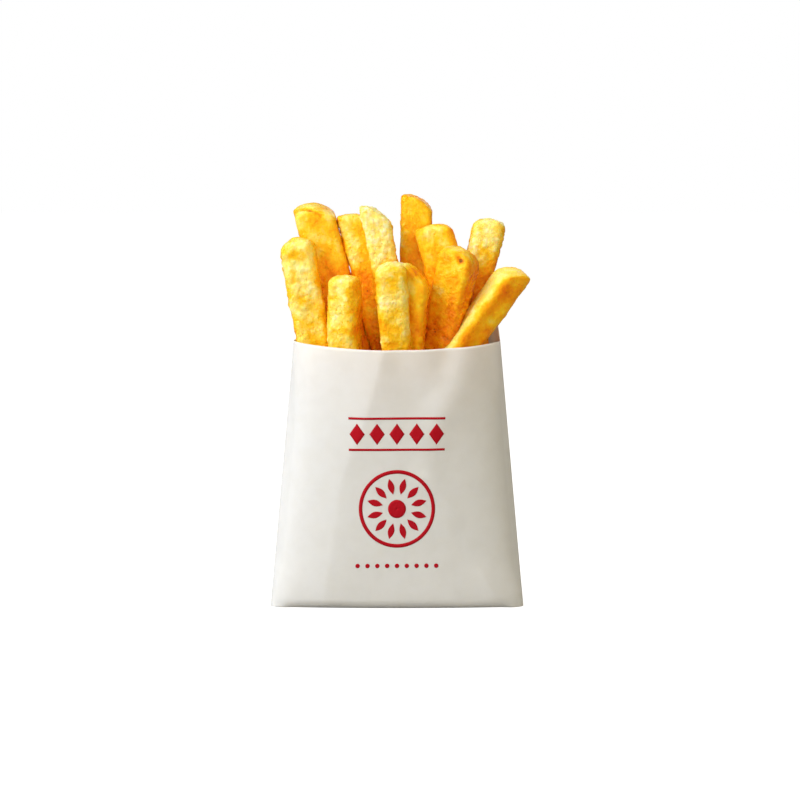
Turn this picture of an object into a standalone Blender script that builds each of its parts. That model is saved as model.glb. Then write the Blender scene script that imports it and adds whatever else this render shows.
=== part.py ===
"""French fries standing in a plain paper bag.

The frame is in metres with +Z up. The origin is the middle of the bag's flat base, the front
panel faces -Y and the bag's width runs along X.

The bag is one folded sheet: a front panel and a taller back panel that meet at two side creases
and along the base. The fries are one heap: a core inside the bag with whole fries fused on.
"""

import math
import random
from collections import namedtuple

import bmesh
import bpy
from mathutils import Matrix, Vector

MM = 0.001

# The bag's outside, pushed open by the fries in it: half of its width and depth
BASE_HALF_WIDTH = 44.0 * MM
MOUTH_HALF_WIDTH = 35.7 * MM
BASE_HALF_DEPTH = 11.5 * MM
MOUTH_HALF_DEPTH = 21.0 * MM
BASE_FOLD_RADIUS = 3.5 * MM

# How fast the depth grows above the base, and how blunt the side creases are: an outline of
# squareness 1 is an ellipse, a lower one is nearer to a rectangle
DEPTH_SWELL = 0.8
BASE_SQUARENESS = 0.5
MOUTH_SQUARENESS = 0.8

# The rim: the front is cut in a shallow dip, and the back rises from the right crease on, but
# only some way in from the left one. The shoulders are sines of the angle round the bag.
CREASE_HEIGHT = 92.3 * MM
FRONT_DIP = 2.1 * MM
BACK_RISE = 7.5 * MM
BACK_SHOULDER = 0.3
LEFT_SHOULDER_START = 0.34

# The paper's thickness across the panels and along the creases, and the bag's divisions
PAPER = 0.5 * MM
CREASE_PAPER = 1.0 * MM
BAG_COLUMNS = 56
FOLD_ROWS = 3
WALL_ROWS = 9

# The heap's core stops short of the mouth, and everything in the bag keeps clear of the paper
CORE_TOP = 60.0 * MM
CORE_CLEARANCE = 0.8 * MM
CORE_ROWS = 7
CORE_COLUMNS = 24
FRY_CLEARANCE = 0.45 * MM
CLEARANCE_SAMPLES = 12
SHORTEST_FRY = 24.0 * MM
SHORTENING_STEP = 2.0 * MM

# A fry's section is a rectangle with its corners cut by a share of its thinner side, and both
# its ends draw in to a share of the section over the last millimetres. A slanted cut reaches
# only a share of the way down the fry.
CORNER_CUT = 0.24
END_REACH = 2.6 * MM
END_SHARE = 0.7
SLANT_REACH = 0.3

# The fries below the rim: rows across the mouth, fanned out a little as the tall ones are
RANDOM_SEED = 7
FILLER_COLUMNS = 6
FILLER_ROWS = 3
FILLER_REACH = 26.0
FILLER_MARGIN = 7.5
FILLER_TOPS = (72.0, 86.0)
FILLER_WIDTHS = (8.5, 12.0)
FILLER_DEPTH = 8.5
FILLER_LENGTH = 40.0
FILLER_JITTER = 1.2
FILLER_TURN = 40.0
LEAN_PER_MM = 0.35
PITCH_PER_MM = 0.6

# One fry, in millimetres and degrees: the middle of its free end (x across, y deep, z up), how
# far it leans to the right and to the back, its width, thickness and length, how much higher
# the left edge of its cut end is than the middle, its turn about its length, and its bow
Fry = namedtuple("Fry", "x y z lean pitch width depth length cut turn bow")

# The fries that show above the mouth, each row from left to right
FRONT_FRIES = (
    Fry(-34.8, -2.5, 126.4, -10.4, -2.0, 12.0, 9.0, 80.0, 0.1, 0.0, 0.0),
    Fry(-17.9, -11.5, 115.0, -0.5, -6.0, 10.4, 10.5, 72.0, -0.2, -20.0, 0.0),
    Fry(-2.2, -14.0, 118.6, -5.0, -7.0, 10.8, 10.5, 76.0, -0.2, 0.0, -0.6),
    Fry(21.8, -7.5, 123.5, 11.6, -9.0, 12.4, 10.5, 82.0, 1.0, -25.0, 0.0),
    Fry(39.8, -5.5, 116.2, 36.0, 1.0, 10.8, 9.6, 80.0, -2.8, 26.0, 0.0),
)
MIDDLE_FRIES = (
    Fry(-28.9, 5.5, 137.4, -15.0, 1.0, 13.6, 10.5, 92.0, 2.0, 0.0, 0.0),
    Fry(-15.5, 6.0, 135.6, -13.8, 1.0, 10.4, 9.5, 86.0, 1.2, 0.0, 0.8),
    Fry(-7.4, 2.0, 136.4, -12.5, -1.0, 9.8, 8.5, 76.0, 3.9, 0.0, -0.8),
    Fry(6.6, -9.0, 117.1, -1.0, -5.0, 9.8, 8.5, 70.0, 3.9, 0.0, 0.0),
    Fry(12.4, 4.5, 131.5, -16.0, 2.0, 12.8, 9.0, 82.0, 0.9, 0.0, 0.0),
    Fry(-10.6, -3.0, 98.5, 2.0, -3.0, 9.5, 9.0, 50.0, -1.5, 0.0, 0.0),
)
BACK_FRIES = (
    Fry(6.8, 15.0, 141.1, 0.5, 6.0, 11.0, 10.0, 92.0, 2.5, 0.0, 0.0),
    Fry(32.4, 8.0, 133.6, 13.0, 3.0, 11.2, 10.0, 84.0, -0.5, 0.0, 0.0),
)


def clear_scene():
    """Removes every object that the scene starts with."""
    for obj in list(bpy.data.objects):
        bpy.data.objects.remove(obj, do_unlink=True)


def principled(name, colour, roughness):
    """A material with one colour and roughness."""
    material = bpy.data.materials.new(name)
    material.use_nodes = True
    shader = material.node_tree.nodes["Principled BSDF"]
    shader.inputs["Base Color"].default_value = (*colour, 1.0)
    shader.inputs["Roughness"].default_value = roughness
    shader.inputs["Metallic"].default_value = 0.0
    return material


def object_from(bm, name, material, collection):
    """Turns a bmesh into an object with its faces pointing out."""
    bmesh.ops.recalc_face_normals(bm, faces=bm.faces)
    mesh = bpy.data.meshes.new(name)
    bm.to_mesh(mesh)
    bm.free()
    mesh.materials.append(material)
    obj = bpy.data.objects.new(name, mesh)
    collection.objects.link(obj)
    return obj


def blend(low, high, share):
    """The value a share of the way from low to high."""
    return low + (high - low) * share


def smooth_step(share):
    """0 below 0, 1 above 1 and a soft S between."""
    share = min(1.0, max(0.0, share))
    return share * share * (3.0 - 2.0 * share)


def height_share(z):
    """How far up the bag a height is, 0 at the base and 1 at the side creases' tops."""
    return min(1.0, max(0.0, z / CREASE_HEIGHT))


def half_width(z):
    """Half of the bag's width at a height."""
    return blend(BASE_HALF_WIDTH, MOUTH_HALF_WIDTH, height_share(z))


def half_depth(z):
    """Half of the bag's depth at a height, drawn in by the fold along the base."""
    depth = blend(BASE_HALF_DEPTH, MOUTH_HALF_DEPTH, height_share(z) ** DEPTH_SWELL)
    if z < BASE_FOLD_RADIUS:
        across = 1.0 - z / BASE_FOLD_RADIUS
        depth -= BASE_FOLD_RADIUS * (1.0 - math.sqrt(1.0 - across * across))
    return depth


def depth_profile(angle, z):
    """How much of the half depth is reached at an angle round the bag, back positive."""
    power = blend(BASE_SQUARENESS, MOUTH_SQUARENESS, height_share(z))
    side = math.sin(angle)
    return math.copysign(abs(side) ** power, side)


def bag_point(angle, z, inset):
    """A point of the bag's wall, as far inside the outer face as the inset says."""
    x = (half_width(z) - inset * CREASE_PAPER / PAPER) * math.cos(angle)
    y = (half_depth(z) - inset) * depth_profile(angle, z)
    return Vector((x, y, z))


def rim_height(angle):
    """Height of the cut edge at an angle: negative sines are the front, positive the back."""
    side = math.sin(angle)
    if side < 0.0:
        return CREASE_HEIGHT - FRONT_DIP * side * side
    start = LEFT_SHOULDER_START if math.cos(angle) < 0.0 else 0.0
    return CREASE_HEIGHT + BACK_RISE * smooth_step((side - start) / BACK_SHOULDER)


def wall_heights(angle):
    """The heights of one column's points, through the base fold and up to the rim."""
    turns = [0.5 * math.pi * i / FOLD_ROWS for i in range(FOLD_ROWS)]
    fold = [BASE_FOLD_RADIUS * (1.0 - math.cos(turn)) for turn in turns]
    top = rim_height(angle)
    wall = [blend(BASE_FOLD_RADIUS, top, i / WALL_ROWS) for i in range(WALL_ROWS + 1)]
    return fold + wall


def pocket(bm, inset):
    """Adds one face of the bag, closed at its base and open at the rim, and returns its rim."""
    columns = []
    lift = Vector((0.0, 0.0, inset))
    for i in range(BAG_COLUMNS):
        angle = 2.0 * math.pi * i / BAG_COLUMNS
        column = []
        for z in wall_heights(angle):
            raised = lift * (1.0 - z / rim_height(angle))
            column.append(bm.verts.new(bag_point(angle, z, inset) + raised))
        columns.append(column)
    for i, column in enumerate(columns):
        following = columns[(i + 1) % BAG_COLUMNS]
        for row in range(len(column) - 1):
            bm.faces.new((column[row], following[row], following[row + 1], column[row + 1]))
    floor = [column[0] for column in columns]
    half = BAG_COLUMNS // 2
    bm.faces.new((floor[0], floor[1], floor[-1]))
    bm.faces.new((floor[half], floor[half + 1], floor[half - 1]))
    for i in range(1, half - 1):
        bm.faces.new((floor[i], floor[i + 1], floor[-i - 1], floor[-i]))
    return [column[-1] for column in columns]


def build_bag(material):
    """The paper bag: an outer and an inner pocket joined round the rim."""
    bm = bmesh.new()
    outer = pocket(bm, 0.0)
    inner = pocket(bm, PAPER)
    for i in range(BAG_COLUMNS):
        following = (i + 1) % BAG_COLUMNS
        bm.faces.new((outer[i], outer[following], inner[following], inner[i]))
    bag = object_from(bm, "bag", material, bpy.context.scene.collection)
    bag.data.shade_smooth()
    return bag


def build_core(material):
    """The hidden middle of the heap, a plug that follows the inside of the bag."""
    bm = bmesh.new()
    inset = PAPER + CORE_CLEARANCE
    rings = []
    for row in range(CORE_ROWS + 1):
        z = blend(inset, CORE_TOP, row / CORE_ROWS)
        angles = [2.0 * math.pi * i / CORE_COLUMNS for i in range(CORE_COLUMNS)]
        rings.append([bm.verts.new(bag_point(angle, z, inset)) for angle in angles])
    for lower, upper in zip(rings, rings[1:]):
        for i in range(CORE_COLUMNS):
            j = (i + 1) % CORE_COLUMNS
            bm.faces.new((lower[i], lower[j], upper[j], upper[i]))
    bm.faces.new(reversed(rings[0]))
    bm.faces.new(rings[-1])
    return object_from(bm, "fries", material, bpy.context.scene.collection)


def cut_corners(width, depth):
    """The eight corners of a fry's section, a rectangle with its corners cut."""
    x, y = 0.5 * width, 0.5 * depth
    cut = CORNER_CUT * min(width, depth)
    return (
        (x, y - cut), (x - cut, y), (cut - x, y), (-x, y - cut),
        (-x, cut - y), (cut - x, -y), (x - cut, -y), (x, cut - y),
    )


def fry_placing(fry):
    """Where a fry's own frame lies: its +Z runs along the fry to its free end."""
    end = Vector((fry.x, fry.y, fry.z)) * MM
    lean = Matrix.Rotation(math.radians(fry.lean), 4, "Y")
    pitch = Matrix.Rotation(math.radians(-fry.pitch), 4, "X")
    turn = Matrix.Rotation(math.radians(fry.turn), 4, "Z")
    return Matrix.Translation(end) @ lean @ pitch @ turn


def fry_rings(fry, length):
    """The rings of a fry's corners from its hidden end to its free end, in its own frame."""
    rounded = (-0.3 * END_REACH, 0.5 * (1.0 + END_SHARE))
    hidden_end = ((-length, END_SHARE), (END_REACH - length, 1.0), (-0.5 * length, 1.0))
    free_end = ((-END_REACH, 1.0), rounded, (0.0, END_SHARE))
    rings = []
    for along, share in hidden_end + free_end:
        curve = fry.bow * MM * math.sin(math.pi * -along / length)
        slant = -2.0 * fry.cut / fry.width * smooth_step(1.0 + along / (SLANT_REACH * length))
        ring = []
        for x, y in cut_corners(fry.width * MM * share, fry.depth * MM * share):
            ring.append(Vector((x + curve, y, along + slant * x)))
        rings.append(ring)
    return rings


def clear_of_paper(point):
    """Whether a point is above the rim, or inside the bag with room to spare."""
    inset = PAPER + FRY_CLEARANCE
    across = point.x / (half_width(point.z) - inset * CREASE_PAPER / PAPER)
    if point.z < inset:
        return False
    if abs(across) >= 1.0:
        return point.z > CREASE_HEIGHT + FRY_CLEARANCE
    angle = math.copysign(math.acos(across), point.y)
    if point.z > rim_height(angle) + FRY_CLEARANCE:
        return True
    return abs(point.y) < abs((half_depth(point.z) - inset) * depth_profile(angle, point.z))


def fits(fry, length):
    """Whether a fry of this length, hidden end included, stays clear of the paper."""
    placing = fry_placing(fry)
    rings = fry_rings(fry, length)
    for lower, upper in zip(rings, rings[1:]):
        for low, high in zip(lower, upper):
            for i in range(CLEARANCE_SAMPLES):
                if not clear_of_paper(placing @ low.lerp(high, i / CLEARANCE_SAMPLES)):
                    return False
    return True


def fitted_length(fry):
    """The longest that a fry can be with its hidden end inside the bag, 0 if it has no room."""
    length = fry.length * MM
    while not fits(fry, length):
        length -= SHORTENING_STEP
        if length < SHORTEST_FRY:
            return 0.0
    return length


def build_fry(fry, length, material, collection):
    """One fry with eight long sides and a cut, rounded end."""
    bm = bmesh.new()
    placing = fry_placing(fry)
    rings = [[bm.verts.new(placing @ corner) for corner in ring] for ring in fry_rings(fry, length)]
    for lower, upper in zip(rings, rings[1:]):
        for i in range(len(lower)):
            j = (i + 1) % len(lower)
            bm.faces.new((lower[i], lower[j], upper[j], upper[i]))
    bm.faces.new(reversed(rings[0]))
    bm.faces.new(rings[-1])
    return object_from(bm, "fry", material, collection)


def shells(bm):
    """The separate closed surfaces of a mesh, each as a list of its faces."""
    left = set(bm.faces)
    found = []
    while left:
        shell, edge = [], [left.pop()]
        while edge:
            face = edge.pop()
            shell.append(face)
            near = {other for side in face.edges for other in side.link_faces} & left
            left -= near
            edge.extend(near)
        found.append(shell)
    return found


def keep_outer_surface(obj):
    """Fills the hollows that fusing sealed, and drops loose scraps."""
    bm = bmesh.new()
    bm.from_mesh(obj.data)
    bmesh.ops.triangulate(bm, faces=bm.faces)
    largest = max(shells(bm), key=lambda shell: sum(face.calc_area() for face in shell))
    kept = set(largest)
    spare = [face for face in bm.faces if face not in kept]
    bmesh.ops.delete(bm, geom=spare, context="FACES")
    bm.to_mesh(obj.data)
    bm.free()


def fuse(core, collection):
    """Joins every fry in the collection to the core, and removes the separate fries."""
    union = core.modifiers.new("fuse", "BOOLEAN")
    union.operation = "UNION"
    union.operand_type = "COLLECTION"
    union.collection = collection
    union.solver = "EXACT"
    graph = bpy.context.evaluated_depsgraph_get()
    mesh = bpy.data.meshes.new_from_object(core.evaluated_get(graph))
    core.modifiers.clear()
    core.data = mesh
    for obj in list(collection.objects):
        bpy.data.objects.remove(obj, do_unlink=True)
    bpy.data.collections.remove(collection)
    keep_outer_surface(core)


def filler_fry(across, deep):
    """A fry below the rim, at shares of the mouth's half width and half depth."""
    x = across * FILLER_REACH + random.uniform(-FILLER_JITTER, FILLER_JITTER)
    top = random.uniform(*FILLER_TOPS)
    angle = math.acos(x * MM / half_width(top * MM))
    reach = half_depth(top * MM) * depth_profile(angle, top * MM) / MM - FILLER_MARGIN
    y = deep * reach + random.uniform(-FILLER_JITTER, FILLER_JITTER)
    lean, pitch = LEAN_PER_MM * x, PITCH_PER_MM * y
    width = random.uniform(*FILLER_WIDTHS)
    turn = random.uniform(-FILLER_TURN, FILLER_TURN)
    return Fry(x, y, top, lean, pitch, width, FILLER_DEPTH, FILLER_LENGTH, 0.0, turn, 0.0)


def filler_fries():
    """The fries that stay below the rim, in uneven rows across the mouth."""
    fries = []
    for row in range(FILLER_ROWS):
        deep = 2.0 * row / (FILLER_ROWS - 1) - 1.0
        for column in range(FILLER_COLUMNS):
            across = 2.0 * column / (FILLER_COLUMNS - 1) - 1.0
            fries.append(filler_fry(across, deep))
    return fries


def build_fries(material):
    """The heap of fries, one solid."""
    core = build_core(material)
    pieces = bpy.data.collections.new("loose_fries")
    bpy.context.scene.collection.children.link(pieces)
    for fry in [*FRONT_FRIES, *MIDDLE_FRIES, *BACK_FRIES, *filler_fries()]:
        length = fitted_length(fry)
        if length > 0.0:
            build_fry(fry, length, material, pieces)
    fuse(core, pieces)
    return core


def main():
    """Builds the bag and the heap in it."""
    clear_scene()
    random.seed(RANDOM_SEED)
    paper = principled("bag_paper", (0.86, 0.85, 0.80), 0.55)
    fried = principled("fried_potato", (0.86, 0.56, 0.12), 0.42)
    build_bag(paper)
    build_fries(fried)


main()
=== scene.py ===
"""French fries in a white paper bag, dressed for a studio picture.

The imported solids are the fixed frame. The paper bag and the heap of fries are built again in
full detail over them, in the same place and at the same size, and the solids aren't shown.
"""

import logging
import math
import random
from dataclasses import dataclass, field
from enum import Enum

import bmesh
import bpy
import numpy as np
from mathutils import Matrix, Vector, noise


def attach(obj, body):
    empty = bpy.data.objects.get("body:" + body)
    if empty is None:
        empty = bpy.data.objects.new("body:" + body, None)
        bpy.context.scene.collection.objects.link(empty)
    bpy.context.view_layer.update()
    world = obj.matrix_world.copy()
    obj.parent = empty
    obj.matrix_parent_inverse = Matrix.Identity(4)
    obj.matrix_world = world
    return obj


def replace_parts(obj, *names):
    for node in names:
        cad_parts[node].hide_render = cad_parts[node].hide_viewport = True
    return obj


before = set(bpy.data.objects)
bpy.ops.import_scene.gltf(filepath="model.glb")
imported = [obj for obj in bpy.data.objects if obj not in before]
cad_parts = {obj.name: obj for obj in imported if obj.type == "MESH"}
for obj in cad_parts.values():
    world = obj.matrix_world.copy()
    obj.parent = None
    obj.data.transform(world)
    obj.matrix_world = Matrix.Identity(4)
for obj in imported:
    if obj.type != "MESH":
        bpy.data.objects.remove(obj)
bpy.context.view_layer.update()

MM = 0.001
# the span that soft noise mostly keeps to
NOISE_SPAN = (0.3, 0.7)
LOG = logging.getLogger("fries")


def smooth_step(share: np.ndarray | float) -> np.ndarray:
    """0 below 0, 1 above 1 and a soft S between."""
    share = np.clip(share, 0.0, 1.0)
    return share * share * (3.0 - 2.0 * share)


def blend(low: float, high: float, share: np.ndarray | float) -> np.ndarray:
    """The value a share of the way from low to high."""
    return low + (high - low) * share


class Draft:
    """The points and faces of one piece while it is being built, in millimetres."""

    def __init__(self) -> None:
        """Starts with nothing in it."""
        self.points: list[np.ndarray] = []
        self.faces: list[tuple[int, ...]] = []
        self.values: dict[str, list[np.ndarray]] = {}
        self.count = 0

    def add(self, points: np.ndarray, **values: np.ndarray) -> int:
        """Adds points and says where they start.

        Args:
            points: an array whose last side has x, y and z.
            **values: one number for each point under each name, kept with the mesh.

        Returns:
            The number of the first new point.
        """
        flat = np.asarray(points, float).reshape(-1, 3)
        first = self.count
        self.points.append(flat)
        self.count += len(flat)
        for name, numbers in values.items():
            self.values.setdefault(name, []).append(np.asarray(numbers, float).ravel())
        return first

    def net(self, first: int, rows: int, columns: int, closed: bool) -> None:
        """Joins a grid of points with four-sided faces.

        Args:
            first: the grid's first point.
            rows: how many rows the grid has.
            columns: how many points each row has.
            closed: whether each row's end meets its start.
        """
        for row in range(rows - 1):
            start = first + row * columns
            for i in range(columns if closed else columns - 1):
                j = (i + 1) % columns
                self.faces.append((start + i, start + j, start + columns + j, start + columns + i))

    def fan(self, ring: int, columns: int, middle: int) -> None:
        """Closes a ring of points with a fan round a middle point."""
        for i in range(columns):
            self.faces.append((ring + i, ring + (i + 1) % columns, middle))

    def slab(self, outer: np.ndarray, inner: np.ndarray, closed: bool = False) -> None:
        """Adds a thin closed solid between two grids of the same size.

        Args:
            outer: the grid of the face that shows.
            inner: the grid of the face that is hidden.
            closed: whether each row's end meets its start, as in a ring.
        """
        rows, columns = outer.shape[:2]
        top = self.add(outer)
        under = self.add(inner)
        self.net(top, rows, columns, closed)
        self.net(under, rows, columns, closed)
        for row in (0, rows - 1):
            for i in range(columns if closed else columns - 1):
                a = row * columns + i
                b = row * columns + (i + 1) % columns
                self.faces.append((top + a, top + b, under + b, under + a))
        if closed:
            return
        for column in (0, columns - 1):
            for row in range(rows - 1):
                a = row * columns + column
                b = a + columns
                self.faces.append((top + a, top + b, under + b, under + a))

    def piece(self, name: str, material: bpy.types.Material) -> bpy.types.Object:
        """Turns the draft into an object with its faces pointing out and smooth shading.

        Args:
            name: the piece's name.
            material: its finish.

        Returns:
            The new object, linked to the scene.
        """
        mesh = bpy.data.meshes.new(name)
        mesh.from_pydata(np.concatenate(self.points) * MM, [], self.faces)
        bm = bmesh.new()
        bm.from_mesh(mesh)
        bmesh.ops.recalc_face_normals(bm, faces=bm.faces)
        bm.to_mesh(mesh)
        bm.free()
        for label, numbers in self.values.items():
            layer = mesh.attributes.new(label, "FLOAT", "POINT")
            layer.data.foreach_set("value", np.concatenate(numbers).astype(np.float32))
        mesh.materials.append(material)
        mesh.shade_smooth()
        obj = bpy.data.objects.new(name, mesh)
        bpy.context.scene.collection.objects.link(obj)
        return obj


class Wiring:
    """Adds nodes to one node tree and joins them."""

    def __init__(self, tree: bpy.types.NodeTree) -> None:
        """Keeps the tree to work on."""
        self.tree = tree

    def add(self, kind: str, settings: dict | None = None, **inputs: object) -> bpy.types.Node:
        """Adds a node.

        Args:
            kind: the node's type name without its ShaderNode start.
            settings: the node's own properties.
            **inputs: sockets by name, with _ for a space, each a number, a colour or a socket.

        Returns:
            The node.
        """
        node = self.tree.nodes.new("ShaderNode" + kind)
        for name, value in (settings or {}).items():
            setattr(node, name, value)
        for name, value in inputs.items():
            self.feed(node.inputs[name.replace("_", " ")], value)
        return node

    def feed(self, socket: bpy.types.NodeSocket, value: object) -> None:
        """Sets a socket to a value, or joins another node's socket to it.

        Args:
            socket: the socket to set.
            value: a number, a colour of three shares, or a socket.
        """
        if isinstance(value, bpy.types.NodeSocket):
            self.tree.links.new(value, socket)
        elif isinstance(value, tuple) and len(value) == 3 and socket.type == "RGBA":
            socket.default_value = (*value, 1.0)
        else:
            socket.default_value = value

    def mix(self, share: object, low: object, high: object) -> bpy.types.NodeSocket:
        """A colour a share of the way from one to another.

        Args:
            share: the share, a number or a socket.
            low: the colour where the share is 0.
            high: the colour where the share is 1.

        Returns:
            The mixed colour.
        """
        node = self.add("Mix", {"data_type": "RGBA"})
        self.feed(node.inputs[0], share)
        self.feed(node.inputs[6], low)
        self.feed(node.inputs[7], high)
        return node.outputs[2]

    def maths(self, operation: str, first: object, second: object) -> bpy.types.NodeSocket:
        """The result of one sum.

        Args:
            operation: the sum's name on a Math node.
            first: a number or a socket.
            second: a number or a socket.

        Returns:
            The result.
        """
        node = self.add("Math", {"operation": operation})
        self.feed(node.inputs[0], first)
        self.feed(node.inputs[1], second)
        return node.outputs[0]

    def total(self, first: object, second: object) -> bpy.types.NodeSocket:
        """Two values added up."""
        return self.maths("ADD", first, second)

    def product(self, first: object, second: object) -> bpy.types.NodeSocket:
        """One value times another."""
        return self.maths("MULTIPLY", first, second)

    def spread(
        self, value: object, low: float, high: float, to_low: float = 0.0, to_high: float = 1.0
    ) -> bpy.types.NodeSocket:
        """Stretches the part of a value between two limits to a new span, cut off outside it.

        Args:
            value: the value, a socket.
            low: the limit that becomes to_low.
            high: the limit that becomes to_high.
            to_low: the new span's start.
            to_high: the new span's end.

        Returns:
            The stretched value.
        """
        node = self.add("MapRange", {"interpolation_type": "SMOOTHSTEP"})
        for socket, number in zip(node.inputs, (value, low, high, to_low, to_high)):
            self.feed(socket, number)
        return node.outputs[0]

    def grain(self, place: object, scale: float, detail: float = 2.0) -> bpy.types.NodeSocket:
        """Soft noise of a scale, in patches to the metre."""
        node = self.add("TexNoise", Vector=place, Scale=scale, Detail=detail)
        return node.outputs["Fac"]

    def kept(self, label: str) -> bpy.types.NodeSocket:
        """The number that each point of the mesh keeps under a label."""
        return self.add("Attribute", {"attribute_name": label}).outputs["Fac"]


@dataclass(frozen=True)
class ShaderGroup:
    """What every node group has: a name, and the means to make its sockets."""

    name: str

    def start(
        self, inputs: dict[str, float], outputs: tuple[str, ...]
    ) -> tuple[Wiring, bpy.types.Node, bpy.types.NodeSocket]:
        """Makes the group with its sockets.

        Args:
            inputs: the inputs by name, with their usual values. One of them is Fineness.
            outputs: the outputs' names.

        Returns:
            The group's wiring, its input node, and the object's own coordinates times its Fineness.
        """
        tree = bpy.data.node_groups.new(self.name, "ShaderNodeTree")
        for label, value in inputs.items():
            socket = tree.interface.new_socket(label, in_out="INPUT", socket_type="NodeSocketFloat")
            socket.default_value = value
        for label in outputs:
            tree.interface.new_socket(label, in_out="OUTPUT", socket_type="NodeSocketFloat")
        wiring = Wiring(tree)
        given = tree.nodes.new("NodeGroupInput")
        scaled = wiring.add("VectorMath", {"operation": "SCALE"}, Scale=given.outputs["Fineness"])
        wiring.feed(scaled.inputs[0], wiring.add("TexCoord").outputs["Object"])
        return wiring, given, scaled.outputs[0]

    @staticmethod
    def finish(wiring: Wiring, **outputs: bpy.types.NodeSocket) -> bpy.types.NodeTree:
        """Joins the group's results to its outputs.

        Args:
            wiring: the group's wiring.
            **outputs: the results by the names of the outputs.

        Returns:
            The group.
        """
        end = wiring.tree.nodes.new("NodeGroupOutput")
        for label, socket in outputs.items():
            wiring.feed(end.inputs[label], socket)
        return wiring.tree


@dataclass(frozen=True)
class PaperFibres(ShaderGroup):
    """The grain of thin greaseproof paper: a height, cloudy patches and short fibres.

    Scales are in patches to the metre. The fibres run both up and across, and each way draws
    its noise out along them.
    """

    name: str = "paper_fibres"
    upright_draw: tuple[float, float, float] = (1.0, 1.0, 0.28)
    upright_scale: float = 2600.0
    upright_share: float = 0.6
    level_draw: tuple[float, float, float] = (0.3, 1.0, 1.0)
    level_scale: float = 2100.0
    level_share: float = 0.4
    fibre_detail: float = 3.0
    cloud_scale: float = 190.0
    cloud_detail: float = 4.0

    def build(self) -> bpy.types.NodeTree:
        """Makes the group.

        Returns:
            The group. Its Clouding is how far the cloudy patches stand out of the fibres.
        """
        inputs = {"Fineness": 1.0, "Clouding": 1.6}
        wiring, given, place = self.start(inputs, ("Height", "Cloud", "Fibre"))
        upright = wiring.add("Mapping", Vector=place, Scale=self.upright_draw).outputs[0]
        level = wiring.add("Mapping", Vector=place, Scale=self.level_draw).outputs[0]
        upright = wiring.grain(upright, self.upright_scale, self.fibre_detail)
        level = wiring.grain(level, self.level_scale, self.fibre_detail)
        upright = wiring.product(upright, self.upright_share)
        fibre = wiring.total(upright, wiring.product(level, self.level_share))
        cloud = wiring.grain(place, self.cloud_scale, self.cloud_detail)
        height = wiring.total(fibre, wiring.product(cloud, given.outputs["Clouding"]))
        return self.finish(wiring, Height=height, Cloud=cloud, Fibre=fibre)


@dataclass(frozen=True)
class PotatoCrust(ShaderGroup):
    """The skin of fried potato: a height, soft patches, pale specks, pores and where oil lies.

    Scales are in patches to the metre, and depths are shares of the height. Limits are the two
    ends of the noise between which a patch, a speck or a pore begins and is full.
    """

    name: str = "potato_crust"
    patch_scale: float = 230.0
    patch_detail: float = 5.0
    fine_scale: float = 1300.0
    fine_detail: float = 4.0
    fine_depth: float = 0.7
    crinkle_scale: float = 620.0
    pore_scale: float = 820.0
    pore_limits: tuple[float, float] = (0.34, 0.06)
    pore_depth: float = 0.45
    pored_scale: float = 170.0
    pored_limits: tuple[float, float] = (0.42, 0.6)
    speck_scale: float = 560.0
    speck_limits: tuple[float, float] = (0.46, 0.72)
    oil_scale: float = 420.0
    oil_limits: tuple[float, float] = (0.38, 0.64)
    detail: float = 3.0

    def build(self) -> bpy.types.NodeTree:
        """Makes the group.

        Returns:
            The group. Its Crinkle is how deep the small folds are, and Specks how pale the specks.
        """
        inputs = {"Fineness": 1.0, "Crinkle": 2.6, "Specks": 0.8}
        wiring, given, place = self.start(inputs, ("Height", "Patch", "Speck", "Pore", "Oil"))
        patch = wiring.grain(place, self.patch_scale, self.patch_detail)
        fine = wiring.grain(place, self.fine_scale, self.fine_detail)
        crinkle = wiring.grain(place, self.crinkle_scale, self.detail)
        cells = wiring.add("TexVoronoi", Vector=place, Scale=self.pore_scale).outputs["Distance"]
        pored = wiring.spread(wiring.grain(place, self.pored_scale), *self.pored_limits)
        pore = wiring.product(wiring.spread(cells, *self.pore_limits), pored)
        specks = wiring.spread(
            wiring.grain(place, self.speck_scale, self.detail), *self.speck_limits
        )
        specks = wiring.product(specks, given.outputs["Specks"])
        oil = wiring.spread(wiring.grain(place, self.oil_scale, self.detail), *self.oil_limits)
        folds = wiring.product(crinkle, given.outputs["Crinkle"])
        height = wiring.total(wiring.product(fine, self.fine_depth), folds)
        height = wiring.maths("SUBTRACT", height, wiring.product(pore, self.pore_depth))
        return self.finish(wiring, Height=height, Patch=patch, Speck=specks, Pore=pore, Oil=oil)


@dataclass(frozen=True)
class Finish:
    """What every finish has: a name, and the means to make its material."""

    name: str

    def start(self) -> tuple[bpy.types.Material, Wiring, bpy.types.Node]:
        """Makes the material.

        Returns:
            The material, its wiring and its shader, which is still plain.
        """
        material = bpy.data.materials.new(self.name)
        material.use_nodes = True
        wiring = Wiring(material.node_tree)
        return material, wiring, material.node_tree.nodes["Principled BSDF"]

    @staticmethod
    def settle(shader: bpy.types.Node, **values: object) -> None:
        """Sets sockets of the shader, named with _ for a space, that are the same all over."""
        for name, value in values.items():
            shader.inputs[name.replace("_", " ")].default_value = value

    @staticmethod
    def emboss(wiring: Wiring, shader: bpy.types.Node, height: object, **bump: float) -> None:
        """Lets a height stand out of the surface.

        Args:
            wiring: the material's wiring.
            shader: its shader.
            height: the height's socket.
            **bump: the Strength and Distance of the bump.
        """
        node = wiring.add("Bump", Height=height, **bump)
        wiring.feed(shader.inputs["Normal"], node.outputs[0])


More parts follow.
